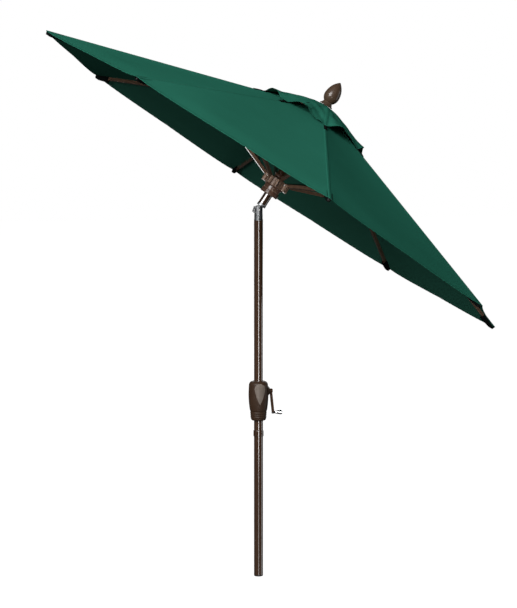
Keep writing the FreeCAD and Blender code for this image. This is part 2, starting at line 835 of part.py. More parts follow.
def ring_pins(name, radius, length, out, height):
    """Pins square to the radius, one for each rib."""

    def make(label, heading):
        pin = plain_cylinder(label, radius, length, ALONG_Y)
        return turned_out(pin, heading, out, -as_dim(length) / 2, height)

    return ring_of(name, make)


def top_hub():
    """Slotted disc on the pole's end, with a sleeve below and a clamping boss above."""
    end, outer = size("upper_pole_end"), size("hub_radius")
    disc_top = end + size("hub_disc_height")
    boss_top = size("cap_top_height") - size("cloth") - 0.1
    sleeve, sleeve_radius = pole_radius + PRESS_FIT, pole_radius + 3.5
    sleeve_end, boss = end - size("sleeve_depth"), 26
    stud, stud_top = size("stud_radius"), size("finial_base") + size("stud_height")
    corners = [
        (0, end),
        (sleeve, end),
        (sleeve, sleeve_end),
        (sleeve_radius, sleeve_end),
        (sleeve_radius, end - 3),
        (outer - 2, end - 1, 2),
        (outer, end + 1),
        (outer, disc_top - 2, 2),
        (outer - 2, disc_top),
        (boss, disc_top),
        (boss, boss_top),
        (stud, boss_top),
        (stud, stud_top),
        (0, stud_top),
    ]
    slots = radial_slots("hub_slot", 25.5, end - 2.5, size("hub_disc_height") + 8)
    holes = ring_pins(
        "hub_pin_hole", size("pin_radius"), 17, size("rib_pin_radius"), size("rib_pin_height")
    )
    node("top_hub", cut("hub", turned("hub_body", corners), *slots, *holes), head_frame)


def hub_pins():
    """Rib pins, pressed into the top hub."""
    pins = ring_pins(
        "hub_pin", size("pin_radius"), 16, size("rib_pin_radius"), size("rib_pin_height")
    )
    node("hub_pins", compound("hub_pin_set", *pins), head_frame)


def finial():
    """Turned finial: flange, neck and an acorn bulb that runs to a point."""
    base, tip = size("finial_base"), size("finial_base") + size("finial_height")
    neck, neck_level = size("finial_neck"), base + size("finial_neck_height")
    bore, socket = size("stud_radius") + PRESS_FIT, base + size("stud_height") + 1
    corners = [
        (bore, base),
        (size("finial_flange") - 2, base),
        (size("finial_flange"), base + 2, size("finial_flare") * -1),
        (neck, neck_level),
        (neck + 1, neck_level + 1, size("finial_belly")),
        (size("finial_bulb"), base + size("finial_bulb_height"), size("finial_shoulder")),
        (1.5, tip),
        (0, tip),
        (0, socket),
        (bore, socket),
    ]
    node("finial", turned("finial_body", corners), head_frame)


def vent_cap():
    """Shallow eight-sided cap of cloth, clamped under the finial."""
    shells = []
    for name, drop in (("cap_outer", 0), ("cap_inner", size("cloth") + 0.1)):
        rims = []
        for level, radius, height in (
            ("rim", size("cap_radius"), size("cap_rim_height")),
            ("crown", size("cap_top_radius"), size("cap_top_height")),
        ):
            rim = doc.addObject("Part::RegularPolygon", f"{name}_{level}")
            rim.Polygon = RIBS
            bind(rim, Circumradius=radius)
            put(rim, 0, 0, height - drop)
            rims.append(rim)
        shell = doc.addObject("Part::Loft", name)
        shell.Sections = rims
        shell.Solid = True
        shell.Ruled = True
        shells.append(shell)
    hole_radius, start = size("stud_radius") + 0.2, size("cap_top_height") - THROUGH / 2
    stud_hole = cylinder("cap_stud_hole", hole_radius, THROUGH, z=start)
    node("vent_cap", cut("cap_cloth", shells[0], shells[1], stud_hole), head_frame)


# ---------------------------------------------------------------- runner


def runner_collar():
    """Lower flange of the runner."""
    low, outer = size("runner_bottom"), size("flange_radius")
    bore, high = pole_radius + size("slide_gap"), size("runner_bottom") + size("flange_height")
    corners = [
        (bore, low),
        (outer - 2.5, low, 2.5),
        (outer, low + 2.5),
        (outer, high - 2, 2),
        (outer - 2, high),
        (bore, high),
    ]
    node("runner_collar", turned("runner_flange", corners), head_frame)


def runner_hub():
    """Runner body with eight round lugs, each slotted for a strut."""
    low = size("runner_bottom") + size("flange_height")
    bore, under, top = pole_radius + size("slide_gap"), size("crown_bottom"), size("crown_top")
    crown = size("crown_radius")
    corners = [
        (bore, low),
        (size("waist_radius"), low),
        (size("waist_radius") + 1, under - 6),
        (crown, under),
        (crown, top),
        (28, top + 3, -10),
        (24.5, size("runner_top") - 2, 2),
        (22.5, size("runner_top")),
        (bore, size("runner_top")),
    ]
    reach, width, root = size("lug_reach"), size("lug_width"), 28

    def lug_bar(label, heading):
        bar = plain_box(label, reach - root, width, top - under)
        return turned_out(bar, heading, root, -width / 2, under)

    def lug_end(label, heading):
        end = plain_cylinder(label, width / 2, top - under)
        return turned_out(end, heading, reach, 0, under)

    body = turned("runner_body", corners)
    blank = fuse("runner_blank", body, *ring_of("lug_bar", lug_bar), *ring_of("lug_end", lug_end))
    slots = radial_slots("runner_slot", 42.5, under - 1, top - under + 2)
    holes = ring_pins(
        "runner_pin_hole", size("pin_radius"), 19, size("strut_pin_radius"), size("strut_pin_height")
    )
    node("runner_hub", cut("runner", blank, *slots, *holes), head_frame)


def runner_pins():
    """Strut pins, pressed into the runner's lugs."""
    pins = ring_pins(
        "runner_pin", size("pin_radius"), 18, size("strut_pin_radius"), size("strut_pin_height")
    )
    node("runner_pins", compound("runner_pin_set", *pins), head_frame)


# ---------------------------------------------------------------- ribs, struts, canopy


def bar_tube(name, width, depth, start, end):
    """Rectangular tube along X, centred on its axis."""
    wall = size("rib_wall")
    length = as_dim(end) - start
    outer = box(f"{name}_outer", length, width, depth, x=start, z=-depth / 2)
    inner = box(
        f"{name}_inner", length, width - 2 * wall, depth - 2 * wall, x=start, z=wall - depth / 2
    )
    return cut(f"{name}_tube", outer, inner)


def tongue(name, pin_place, tail, hole_radius):
    """Flattened end, round about its pin and running back to the tube."""
    width, depth = size("tongue_width"), size("tongue_depth")
    start, length = (pin_place, as_dim(tail) - pin_place)
    if length.value < 0:
        start, length = tail, -length
    flat = box(f"{name}_flat", length, width, depth, x=start, z=-depth / 2)
    eye = cylinder(f"{name}_eye", depth / 2, width, x=pin_place, y=-width / 2, turn=ALONG_Y)
    hole = cylinder(f"{name}_hole", hole_radius, 40, x=pin_place, y=-20, turn=ALONG_Y)
    return cut(f"{name}_end", fuse(f"{name}_blank", flat, eye), hole)


def plug(name, width, depth, start, length):
    """Solid filling of a tube's end, where it is pressed flat."""
    return box(name, length, width, depth, x=start, z=-as_dim(depth) / 2)


def rib(step):
    """Rectangular tube with a flattened inner end and a bracket for its strut."""
    name = f"rib_{step + 1}"
    width, depth = size("rib_width"), size("rib_depth")
    start = size("tube_start")
    tube = bar_tube(name, width, depth, start, size("rib_length"))
    filling = plug(f"{name}_plug", width - 0.5, depth - 0.5, start, 12)
    end = tongue(name, 0, 20, pin_hole)
    place, drop = size("bracket_place"), size("bracket_drop")
    length, thick, below = 14, 1.9, 5
    cheeks = []
    for side in (-1, 1):
        middle = side * (width / 2 - thick / 2)
        rise = drop + below - depth / 2 + 0.5
        spot = {"x": place - length / 2, "y": middle, "z": -drop - below}
        cheeks.append(box(f"{name}_cheek", length, thick, rise, **spot))
    pin = cylinder(
        f"{name}_pin", size("pin_radius"), width, x=place, y=-width / 2, z=-drop, turn=ALONG_Y
    )
    solid = fuse(f"{name}_solid", tube, filling, end, *cheeks, pin)
    node(name, solid, rib_frame(step))


def rib_frame(step):
    return around(step, size("rib_pin_radius"), size("rib_pin_height"), size("rib_slope").value)


def rib_tip(step):
    """Moulded cap over the end of a rib, with a small round nose."""
    name = f"rib_tip_{step + 1}"
    width, depth, end = size("rib_width"), size("rib_depth"), size("rib_length")
    grip, wall, beyond = size("tip_grip"), size("tip_wall"), 5
    low = -depth / 2
    outside = {"x": end - grip, "z": low - wall}
    shell = box(f"{name}_shell", grip + beyond, width + 2 * wall, depth + wall, **outside)
    nose = doc.addObject("Part::Sphere", f"{name}_nose")
    bind(nose, Radius=size("tip_nose"))
    put(nose, end + beyond + 1, 0, -1.5)
    space = box(f"{name}_space", grip + 1, width + 0.1, depth + 4, x=end - grip - 1, z=low)
    node(name, cut(f"{name}_cap", fuse(f"{name}_blank", shell, nose), space), rib_frame(step))


def canopy_half_width(radius):
    return radius * sine(as_dim(180 / RIBS)) * cosine(as_dim(180 / RIBS))


def canopy_panel(step):
    """The cloth on both sides of a rib, out to the middle of each neighbouring panel."""
    name = f"canopy_{step + 1}"
    slope, half_angle = size("rib_slope"), as_dim(180 / RIBS)
    fall, run = sine(slope), cosine(slope)
    pin, rim, vent = size("rib_pin_radius"), size("canopy_radius"), size("vent_radius")

    def along(radius, share):
        """Distance along the rib of a point at a share of the radius, at the rib's height."""
        return (radius * share - pin) * run + (radius - pin) * fall * tangent(slope)

    middle = cosine(half_angle) * cosine(half_angle)
    near = canopy_half_width(vent) - size("panel_gap_vent")
    far = canopy_half_width(rim) - size("panel_gap_rim")
    lift, cloth, seam = size("cloth_lift"), size("cloth"), size("seam_gap")
    reach, height = size("canopy_radius") / 2, 200
    edge_drop = reach * fall * tangent(half_angle)
    halves = []
    for side, word in ((1, "left"), (-1, "right")):
        kite = [
            (along(vent, as_dim(1)), side * seam),
            (along(vent, middle), side * near),
            (along(rim, middle), side * far),
            (along(rim, as_dim(1)), side * seam),
        ]
        roof = [
            (0, lift),
            (side * reach, lift - edge_drop),
            (side * reach, lift - edge_drop + cloth),
            (0, lift + cloth),
        ]
        plan = padded(f"{name}_{word}_plan", "XY_Plane", kite[::side], height)
        plan.Placement = Placement(Vector(0, 0, -height / 2), UPRIGHT)
        slab = padded(f"{name}_{word}_slab", "YZ_Plane", roof[::side], size("rib_length") + 100)
        halves.append(common(f"{name}_{word}", plan, slab))
    node(name, compound(f"{name}_cloth", *halves), rib_frame(step))


def strut(step):
    """Rectangular tube from a runner pin to the pin under its rib."""
    name = f"strut_{step + 1}"
    frame, length = strut_frame(step)
    width, depth, start, fill = size("strut_width"), size("strut_depth"), size("tube_start"), 10
    end = length - start - 1
    tube = bar_tube(name, width, depth, start, end)
    inner_fill = plug(f"{name}_inner_fill", width - 0.5, depth - 0.5, start, fill)
    outer_fill = plug(f"{name}_outer_fill", width - 0.5, depth - 0.5, end - fill, fill)
    inner = tongue(f"{name}_in", 0, 20, pin_hole)
    outer = tongue(f"{name}_out", length, length - 20, size("pin_radius") + size("open_pivot_gap"))
    solid = fuse(f"{name}_solid", tube, inner_fill, outer_fill, inner, outer)
    node(name, solid, frame)


def strut_span():
    """Outward and upward distance from a runner pin to the pin under its rib."""
    slope = size("rib_slope")
    place, drop = size("bracket_place"), size("bracket_drop")
    out = size("rib_pin_radius") + place * cosine(slope) - drop * sine(slope)
    high = size("rib_pin_height") - place * sine(slope) - drop * cosine(slope)
    return (out - size("strut_pin_radius")).value, (high - size("strut_pin_height")).value


def strut_frame(step):
    out, rise = strut_span()
    climb = math.degrees(math.atan2(rise, out))
    frame = around(step, size("strut_pin_radius"), size("strut_pin_height"), -climb)
    return frame, as_dim(math.hypot(out, rise))


# ---------------------------------------------------------------- build and check

for make in (
    lower_pole,
    foot_plug,
    joint_collar,
    main_pole,
    housing_inlay,
    housing_screws,
    crank_shaft,
    cord_spool,
    crank_bushing,
    crank_arm,
    knob_axle,
    crank_knob,
    knuckle_lower,
    tilt_pin,
    tilt_button,
    knuckle_upper,
    upper_pole,
    top_pulley,
    pulley_pin,
    top_hub,
    hub_pins,
    finial,
    vent_cap,
    runner_collar,
    runner_hub,
    runner_pins,
):
    make()
housing_half("housing_front", True)
housing_half("housing_back", False)
for step in range(RIBS):
    rib(step)
    rib_tip(step)
    canopy_panel(step)
    strut(step)

doc.recompute()
failed = [o.Name for o in doc.Objects if {"Invalid", "Error"} & set(o.State)]
if failed:
    raise RuntimeError(f"these objects failed: {failed}")
for label, thing in nodes.items():
    if thing.Shape.isNull() or not thing.Shape.isValid() or not thing.Shape.Solids:
        raise RuntimeError(f"{label} has no valid solid")

os.makedirs("parts", exist_ok=True)
for label, thing in nodes.items():
    thing.Shape.exportStep(f"parts/{label}.step")
print(len(nodes), "nodes written")
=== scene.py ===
import json
import math

import bpy
import numpy as np
from mathutils import Matrix, Vector

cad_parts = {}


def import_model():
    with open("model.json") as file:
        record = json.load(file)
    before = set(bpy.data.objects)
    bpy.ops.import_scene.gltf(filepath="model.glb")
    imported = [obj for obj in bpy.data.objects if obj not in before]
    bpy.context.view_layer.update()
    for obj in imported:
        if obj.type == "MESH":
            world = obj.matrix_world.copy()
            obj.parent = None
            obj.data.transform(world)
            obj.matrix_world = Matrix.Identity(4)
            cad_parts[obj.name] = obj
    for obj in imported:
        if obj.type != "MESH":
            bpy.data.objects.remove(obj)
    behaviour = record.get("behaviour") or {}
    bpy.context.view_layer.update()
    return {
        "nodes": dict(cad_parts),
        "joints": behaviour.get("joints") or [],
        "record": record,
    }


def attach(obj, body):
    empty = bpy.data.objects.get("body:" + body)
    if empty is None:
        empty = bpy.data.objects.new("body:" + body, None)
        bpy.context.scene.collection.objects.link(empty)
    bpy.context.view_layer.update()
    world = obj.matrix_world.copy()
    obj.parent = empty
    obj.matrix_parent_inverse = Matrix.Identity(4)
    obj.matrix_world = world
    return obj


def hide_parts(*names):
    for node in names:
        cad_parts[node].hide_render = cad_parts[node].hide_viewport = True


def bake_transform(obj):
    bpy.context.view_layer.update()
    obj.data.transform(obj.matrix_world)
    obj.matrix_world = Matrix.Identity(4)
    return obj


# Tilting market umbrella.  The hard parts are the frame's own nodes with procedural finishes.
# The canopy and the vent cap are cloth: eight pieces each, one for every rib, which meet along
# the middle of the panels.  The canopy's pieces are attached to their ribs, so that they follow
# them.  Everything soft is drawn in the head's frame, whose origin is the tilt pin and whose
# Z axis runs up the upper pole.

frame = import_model()

MM = 0.001
RIBS = 8
TURN = math.tau / RIBS
COS, SIN = math.cos(TURN / 2), math.sin(TURN / 2)
JOINTS = {joint["name"]: joint for joint in frame["joints"]}


# ---------------------------------------------------------------- frame


def head_matrix():
    """The head's frame: origin at the tilt pin, Z up the upper pole, Y along the tilt pin."""
    up = Vector(JOINTS["runner_slide"]["axis"])
    side = Vector(JOINTS["tilt"]["axis"])
    turn = Matrix((side.cross(up), side, up)).transposed()
    return Matrix.Translation(JOINTS["tilt"]["pos_m"]) @ turn.to_4x4()


HEAD = head_matrix()
HEAD_TURN = np.array(HEAD.to_3x3())
HEAD_ORIGIN = np.array(HEAD.translation)


def to_world(points):
    """Points of the head's frame in the row frame."""
    return points @ HEAD_TURN.T + HEAD_ORIGIN


def node_points(node):
    """A node's vertices in the row frame."""
    return np.array([v.co for v in frame["nodes"][node].data.vertices])


def in_head(node):
    """A node's vertices in the head's frame."""
    return (node_points(node) - HEAD_ORIGIN) @ HEAD_TURN


def rib_line(node, low):
    """Radius and height of a cloth solid's inner and outer end above rib 1.  The ends of its
    underside are wanted if low is true, and otherwise those of its upper side."""
    points = in_head(node)
    points = points[(abs(points[:, 1]) < 0.5 * MM) & (points[:, 0] > 20 * MM)]
    ends = []
    for far in (False, True):
        reach = points[:, 0].max() if far else points[:, 0].min()
        near = points[abs(points[:, 0] - reach) < 3 * MM]
        pick = near[:, 2].argmin() if low else near[:, 2].argmax()
        ends.append((near[pick, 0], near[pick, 2]))
    return ends


(VENT, VENT_HEIGHT), (RIM, RIM_HEIGHT) = rib_line("canopy_1", True)
SLOPE = (VENT_HEIGHT - RIM_HEIGHT) / (RIM - VENT)
CAP_RIM, CAP_RIM_HEIGHT = rib_line("vent_cap", False)[1]
CAP_TOP_HEIGHT = in_head("vent_cap")[:, 2].max()


# ---------------------------------------------------------------- material nodes


class Finish:
    """A Principled material and the nodes that feed it."""

    def __init__(self, name, **constants):
        self.name = name
        self.material = bpy.data.materials.new(name)
        self.material.use_nodes = True
        self.tree = self.material.node_tree
        self.shader = self.tree.nodes["Principled BSDF"]
        for socket, value in constants.items():
            self.shader.inputs[socket.replace("_", " ")].default_value = value

    def node(self, kind, settings=None, **inputs):
        """A new node.  An input's name has _ for a space, and its value is a number or a socket."""
        made = self.tree.nodes.new(kind)
        for key, value in (settings or {}).items():
            setattr(made, key, value)
        for key, value in inputs.items():
            self.feed(made.inputs[key.replace("_", " ")], value)
        return made

    def feed(self, socket, value):
        if isinstance(value, bpy.types.NodeSocket):
            self.tree.links.new(value, socket)
        else:
            socket.default_value = value

    def math(self, operation, first, second=0.0):
        made = self.tree.nodes.new("ShaderNodeMath")
        made.operation = operation
        self.feed(made.inputs[0], first)
        self.feed(made.inputs[1], second)
        return made.outputs[0]

    def place(self, stretch=(1, 1, 1)):
        """Object coordinates in metres, stretched."""
        coords = self.node("ShaderNodeTexCoord").outputs["Object"]
        scaled = self.node("ShaderNodeMapping", Vector=coords, Scale=stretch)
        return scaled.outputs[0]

    def noise(self, scale, detail=3.0, stretch=(1, 1, 1)):
        made = self.node("ShaderNodeTexNoise", Vector=self.place(stretch), Scale=scale, Detail=detail)
        return made.outputs[0]

    def between(self, share, low, high):
        """A number from low to high as share goes from 0.3 to 0.7, the usual span of noise."""
        made = self.node("ShaderNodeMapRange", Value=share, From_Min=0.3, From_Max=0.7)
        made.inputs["To Min"].default_value = low
        made.inputs["To Max"].default_value = high
        return made.outputs[0]

    def mix(self, share, first, second):
        made = self.node("ShaderNodeMix", {"data_type": "RGBA"})
        self.feed(made.inputs[0], share)
        for socket, colour in ((made.inputs[6], first), (made.inputs[7], second)):
            is_socket = isinstance(colour, bpy.types.NodeSocket)
            self.feed(socket, colour if is_socket else (*colour, 1))
        return made.outputs[2]

    def edges(self):
        """1 along convex edges, where paint wears and plastic is made lighter, on the hub as a painted
        highlight.
        """
        point = self.node("ShaderNodeNewGeometry").outputs["Pointiness"]
        made = self.node("ShaderNodeMapRange", Value=point, From_Min=0.52, From_Max=0.6)
        return made.outputs[0]

    def colour(self, value):
        self.feed(self.shader.inputs["Base Color"], value)

    def rough(self, value):
        self.feed(self.shader.inputs["Roughness"], value)

    def bump(self, height, strength, distance):
        made = self.node("ShaderNodeBump", Height=height, Strength=strength, Distance=distance)
        self.feed(self.shader.inputs["Normal"], made.outputs[0])


def painted(name, dark, light, worn, rough):
    """Satin metallic paint with faint orange peel and cloudiness, worn lighter at edges."""
    coat = {"Coat_Weight": 1.0, "Coat_Roughness": 0.1, "Coat_IOR": 1.8}
    finish = Finish(name, Metallic=0.3, Specular_IOR_Level=0.0, **coat)
    body = finish.mix(finish.between(finish.noise(6, 3), 0, 1), dark, light)
    flakes = finish.between(finish.noise(2600, 1), 0, 0.25)
    body = finish.mix(flakes, body, light)
    edge_share = finish.math("MULTIPLY", finish.edges(), finish.between(finish.noise(60, 4), 0.1, 0.9))
    finish.colour(finish.mix(edge_share, body, worn))
    finish.rough(finish.between(finish.noise(25, 2, (1, 1, 0.2)), rough - 0.02, rough + 0.03))
    finish.bump(finish.noise(1400, 1), 0.03, 0.1 * MM)
    return finish


def moulded(name, dark, light, edge_colour, rough, grain, coat=0.0, depth=0.12):
    """Moulded plastic with a fine grain, depth mm deep, and slightly brighter edges.  On the hub the
    bright edges are a painted highlight.
    """
    finish = Finish(name, Coat_Weight=coat, Coat_Roughness=0.14, Specular_IOR_Level=0.15)
    body = finish.mix(finish.between(finish.noise(14, 4), 0, 1), dark, light)
    # Lighter along convex edges; on the hub plastic this is a painted highlight.
    edge_share = finish.math("MULTIPLY", finish.edges(), finish.between(finish.noise(90, 3), 0.2, 0.8))
    finish.colour(finish.mix(edge_share, body, edge_colour))
    finish.rough(finish.between(finish.noise(50, 3), rough - 0.05, rough + 0.08))
    finish.bump(finish.noise(grain, 2), 0.25, depth * MM)
    return finish


def metal(name, dark, light, low, high, grain, depth):
    """Bare or plated metal with a fine surface and uneven gloss."""
    finish = Finish(name, Metallic=1.0)
    finish.colour(finish.mix(finish.between(finish.noise(25, 4), 0, 1), dark, light))
    finish.rough(finish.between(finish.noise(120, 4), low, high))
    finish.bump(finish.noise(grain, 3), 0.2, depth)
    return finish


def woven(name, dark, light, doubled, back, thread):
    """Plain weave.  The map is in metres along the yarns.  The mesh's layers attribute is 1
    where the cloth is folded or sewn double, and its lower attribute is 1 on the underside.
    The yarns' round tops are lighter than the gaps between them, doubled cloth goes towards
    the darker doubled colour, and the underside takes the darker back colour: all painted shade."""
    finish = Finish(name, Sheen_Weight=0.0, Specular_IOR_Level=0.0)
    flat = finish.node("ShaderNodeUVMap", {"uv_map": "yarns"}).outputs[0]
    parts = finish.node("ShaderNodeSeparateXYZ", Vector=flat)
    across = finish.math("MULTIPLY", parts.outputs[0], 1 / thread)
    along = finish.math("MULTIPLY", parts.outputs[1], 1 / thread)

    def yarns(value):
        """Round tops of the yarns, 0 in the gaps between them."""
        return finish.math("ABSOLUTE", finish.math("SINE", finish.math("MULTIPLY", value, math.pi)))

    cell = finish.math("ADD", finish.math("FLOOR", across), finish.math("FLOOR", along))
    over = finish.math("MODULO", finish.math("ABSOLUTE", cell), 2.0)
    under = finish.math("SUBTRACT", 1.0, over)
    warp = finish.math("MULTIPLY", yarns(across), over)
    weft = finish.math("MULTIPLY", yarns(along), under)
    weave = finish.math("ADD", warp, weft)

    slub = finish.node("ShaderNodeTexNoise", Vector=flat, Scale=160, Detail=3).outputs[0]
    fade = finish.node("ShaderNodeTexNoise", Vector=flat, Scale=2.2, Detail=2).outputs[0]
    # The yarns' round tops are lighter and the gaps between them darker: painted shade of the weave's
    # relief, with random tone from slub and fade added.
    shade = finish.math("ADD", finish.math("MULTIPLY", weave, 0.25), finish.between(slub, 0.15, 0.3))
    shade = finish.math("ADD", shade, finish.between(fade, 0, 0.3))
    cloth = finish.mix(shade, dark, light)
    layers = finish.node("ShaderNodeAttribute", {"attribute_name": "layers"}).outputs["Fac"]
    # Doubled cloth of hems, seams and folds is mixed towards the darker doubled colour: painted shade
    # for the light that two layers let through less.
    cloth = finish.mix(finish.math("MULTIPLY", layers, 0.55), cloth, doubled)
    # The underside takes the back colour, darker than the upper side: painted shade of the underside.
    lower = finish.node("ShaderNodeAttribute", {"attribute_name": "lower"}).outputs["Fac"]
    finish.colour(finish.mix(lower, cloth, back))
    finish.rough(finish.between(slub, 0.72, 0.9))
    height = finish.math("ADD", weave, finish.math("MULTIPLY", slub, 0.25))
    finish.bump(height, 0.2, 0.15 * MM)
    return finish


def finishes():
    """One material for each slot of the record, and those of the added soft pieces."""
    black = (0.008, 0.008, 0.008)
    made = [
        painted("bronze_paint", (0.022, 0.0085, 0.0034), (0.028, 0.0120, 0.0054),
                (0.038, 0.018, 0.009), 0.45),
        # rib_paint is the bronze paint in lighter tones: painted light, so that the ribs and struts in
        # the canopy's shade read lighter.
        painted("rib_paint", (0.060, 0.031, 0.018), (0.088, 0.049, 0.031),
                (0.12, 0.072, 0.048), 0.42),
        moulded("housing_plastic", (0.020, 0.0105, 0.0058), (0.026, 0.0142, 0.0082),
                (0.05, 0.03, 0.02), 0.45, 900),
        moulded("inlay_plastic", (0.085, 0.069, 0.057), (0.103, 0.085, 0.072),
                (0.2, 0.16, 0.14), 0.4, 500),
        # The hub's edge colour, far lighter than its body, is a painted highlight along its edges.
        moulded("hub_plastic", (0.060, 0.030, 0.019), (0.078, 0.042, 0.027),
                (0.3, 0.2, 0.14), 0.3, 700, 0.3),
        moulded("finial_lacquer", (0.032, 0.0185, 0.0105), (0.041, 0.0245, 0.0150),
                (0.08, 0.05, 0.035), 0.5, 90, 0.35, 0.01),
        moulded("black_plastic", (0.004, 0.004, 0.004), black, (0.03, 0.03, 0.03), 0.45, 800),
        metal("cast_alloy", (0.13, 0.135, 0.14), (0.22, 0.225, 0.23), 0.34, 0.5, 420, 0.25 * MM),
        metal("chrome", (0.72, 0.72, 0.73), (0.86, 0.86, 0.87), 0.04, 0.12, 900, 0.01 * MM),
        metal("zinc_steel", (0.42, 0.41, 0.38), (0.62, 0.61, 0.58), 0.28, 0.42, 600, 0.05 * MM),
        # canopy_fabric: its darker doubled colour and darker back colour are painted shade, of doubled
        # cloth and of the underside.
        woven("canopy_fabric", (0.0105, 0.078, 0.051), (0.0185, 0.120, 0.082),
              (0.0105, 0.079, 0.052), (0.015, 0.066, 0.046), 1.1 * MM),
        woven("webbing", (0.003, 0.004, 0.004), (0.007, 0.009, 0.008), (0.002, 0.002, 0.002),
              (0.003, 0.004, 0.004), 1.6 * MM),
        moulded("thread", (0.012, 0.075, 0.050), (0.017, 0.095, 0.064), (0.02, 0.11, 0.08), 0.6, 1500),
    ]
    return {finish.name: finish.material for finish in made}


FINISHES = finishes()


def finish_nodes():
    """Gives every node of the frame the finish of its slot."""
    for part in frame["record"]["subparts"]:
        shown = frame["nodes"][part["node"]]
        if not shown.data.materials:
            shown.data.materials.append(None)
        for slot in shown.material_slots:
            slot.material = FINISHES[part["material_slot"]]


# ---------------------------------------------------------------- cloth meshes


def new_object(name, verts, faces, finish):
    mesh = bpy.data.meshes.new(name)
    mesh.from_pydata(verts.tolist(), [], faces)
    mesh.materials.append(FINISHES[finish])
    mesh.polygons.foreach_set("use_smooth", [True] * len(mesh.polygons))
    thing = bpy.data.objects.new(name, mesh)
    bpy.context.scene.collection.objects.link(thing)
    return thing


def grid_faces(rows, columns, first, flip):
    corner = first + np.arange(rows - 1)[:, None] * columns + np.arange(columns - 1)
    quads = np.stack([corner, corner + 1, corner + columns + 1, corner + columns], axis=-1)
    quads = quads.reshape(-1, 4)
    return (quads[:, ::-1] if flip else quads).tolist()


def closed_sheet(name, top, bottom, flat, layers, finish):
    """Cloth with an upper and a lower side, given as grids of points, closed round its edges.
    flat is the grid's place in the flat cloth, in metres."""
    rows, columns = top.shape[:2]
    count = rows * columns
    index = np.arange(count).reshape(rows, columns)
    faces = grid_faces(rows, columns, 0, False) + grid_faces(rows, columns, count, True)
    rim = np.concatenate([index[0], index[1:, -1], index[-1, -2::-1], index[-2:0:-1, 0]])
    following = np.roll(rim, -1)
    faces += np.stack([rim, rim + count, following + count, following], axis=-1).tolist()
    verts = np.concatenate([top.reshape(-1, 3), bottom.reshape(-1, 3)])
    thing = new_object(name, verts, faces, finish)
    mesh = thing.data
    corners = np.zeros(len(mesh.loops), int)
    mesh.loops.foreach_get("vertex_index", corners)
    mesh.uv_layers.new(name="yarns")
    mesh.uv_layers["yarns"].data.foreach_set("uv", flat.reshape(-1, 2)[corners % count].ravel())
    side = np.repeat([0.0, 1.0], count)
    for key, values in (("layers", np.tile(layers.ravel(), 2)), ("lower", side)):
        mesh.attributes.new(key, "FLOAT", "POINT").data.foreach_set("value", values)
    mark_sharp(mesh, np.isin(np.arange(2 * count) % count, rim), count)
    return thing


def mark_sharp(mesh, on_rim, count):
    """Keeps the upper and the lower side's shading apart from the narrow edge's."""
    ends = np.zeros(len(mesh.edges) * 2, int)
    mesh.edges.foreach_get("vertices", ends)
    ends = ends.reshape(-1, 2)
    same_side = (ends[:, 0] < count) == (ends[:, 1] < count)
    sharp = on_rim[ends].all(axis=1) & same_side
    marks = mesh.attributes.get("sharp_edge") or mesh.attributes.new("sharp_edge", "BOOLEAN", "EDGE")
    marks.data.foreach_set("value", sharp)


def ease(value, start, end):
    """0 before start, 1 after end, smooth between."""
    share = np.clip((value - start) / (end - start), 0, 1)
    return share * share * (3 - 2 * share)


def spread(near, reach, count):
    """Distances from a seam: the near ones as given, then evenly out to reach."""
    start = near[-1]
    rest = start + (reach - start) * np.arange(1, count + 1) / count
    return np.concatenate([near, rest])


class Kite:
    """The cloth beside one rib.  A row is a line round the canopy whose corner is at radius
    rho, and away is the distance from the rib along that row: positive to the left, seen
    from outside, and negative to the right."""

    def __init__(self, step, inner, outer, inner_height, slope):
        self.step = step
        self.inner, self.outer = inner, outer
        self.inner_height, self.slope = inner_height, slope

    def level(self, rho):
        return self.inner_height - self.slope * (rho - self.inner)

    def base(self, rho, away):
        """Point of the plain kite, before the cloth's own shape, in the rib's heading."""
        off = abs(away)
        return np.stack([rho - off * SIN, away * COS, self.level(rho) + 0 * off], axis=-1)

    def normal(self, away):
        """Outward direction, rounded over the seam."""
        lean = self.slope / COS
        share = ease(abs(away), 0, 9 * MM)
        x = self.slope + (lean * COS - self.slope) * share
        y = np.sign(away) * lean * SIN * share
        made = np.stack([x, y, np.ones_like(x)], axis=-1)
        return made / np.linalg.norm(made, axis=-1, keepdims=True)

    def turned(self, points):
        """From the rib's heading to the row frame."""
        heading = self.step * TURN
        turn = np.array(Matrix.Rotation(heading, 3, "Z"))
        return to_world(points @ turn.T)

    def panel_place(self, rho, away):
        """The panel that a point is in, and its signed distance from that panel's middle."""
        half = rho * SIN
        panel = np.where(away >= 0, self.step, (self.step - 1) % RIBS)
        return panel, np.where(away >= 0, abs(away) - half, half - abs(away))

    def flat(self, rho, away):
        """Place in the flat cloth of each panel, in metres along its yarns."""
        _, across = self.panel_place(rho, away)
        along = (self.outer - rho) * COS * math.hypot(1, self.slope / COS)
        return np.stack([across, along + 0 * across], axis=-1)

    def cut(self):
        """Width, length and area of the kite laid flat."""
        climb = math.hypot(1, self.slope)
        lean = math.acos(SIN / climb)
        width = 2 * self.outer * SIN * math.sin(lean)
        length = (self.outer - self.inner) * climb + self.inner * SIN * math.cos(lean)
        height = (self.outer - self.inner) * COS * math.hypot(1, self.slope / COS)
        return width, length, (self.outer + self.inner) * SIN * height


def waves(seed, count, shortest, longest, height):
    """Long soft unevenness of each panel: a function of the panel, across and rho."""
    made = np.random.default_rng(seed)
    length = made.uniform(shortest, longest, (RIBS, count))
    heading = made.uniform(0, math.pi, (RIBS, count))
    phase = made.uniform(0, math.tau, (RIBS, count))
    tall = height * made.uniform(0.5, 1, (RIBS, count))

    def rise(panel, across, rho):
        total = 0
        for i in range(count):
            along = across * np.cos(heading[panel, i]) + rho * np.sin(heading[panel, i])
            turns = along / length[panel, i]
            total = total + tall[panel, i] * np.sin(math.tau * turns + phase[panel, i])
        return total

    return rise


# ---------------------------------------------------------------- canopy

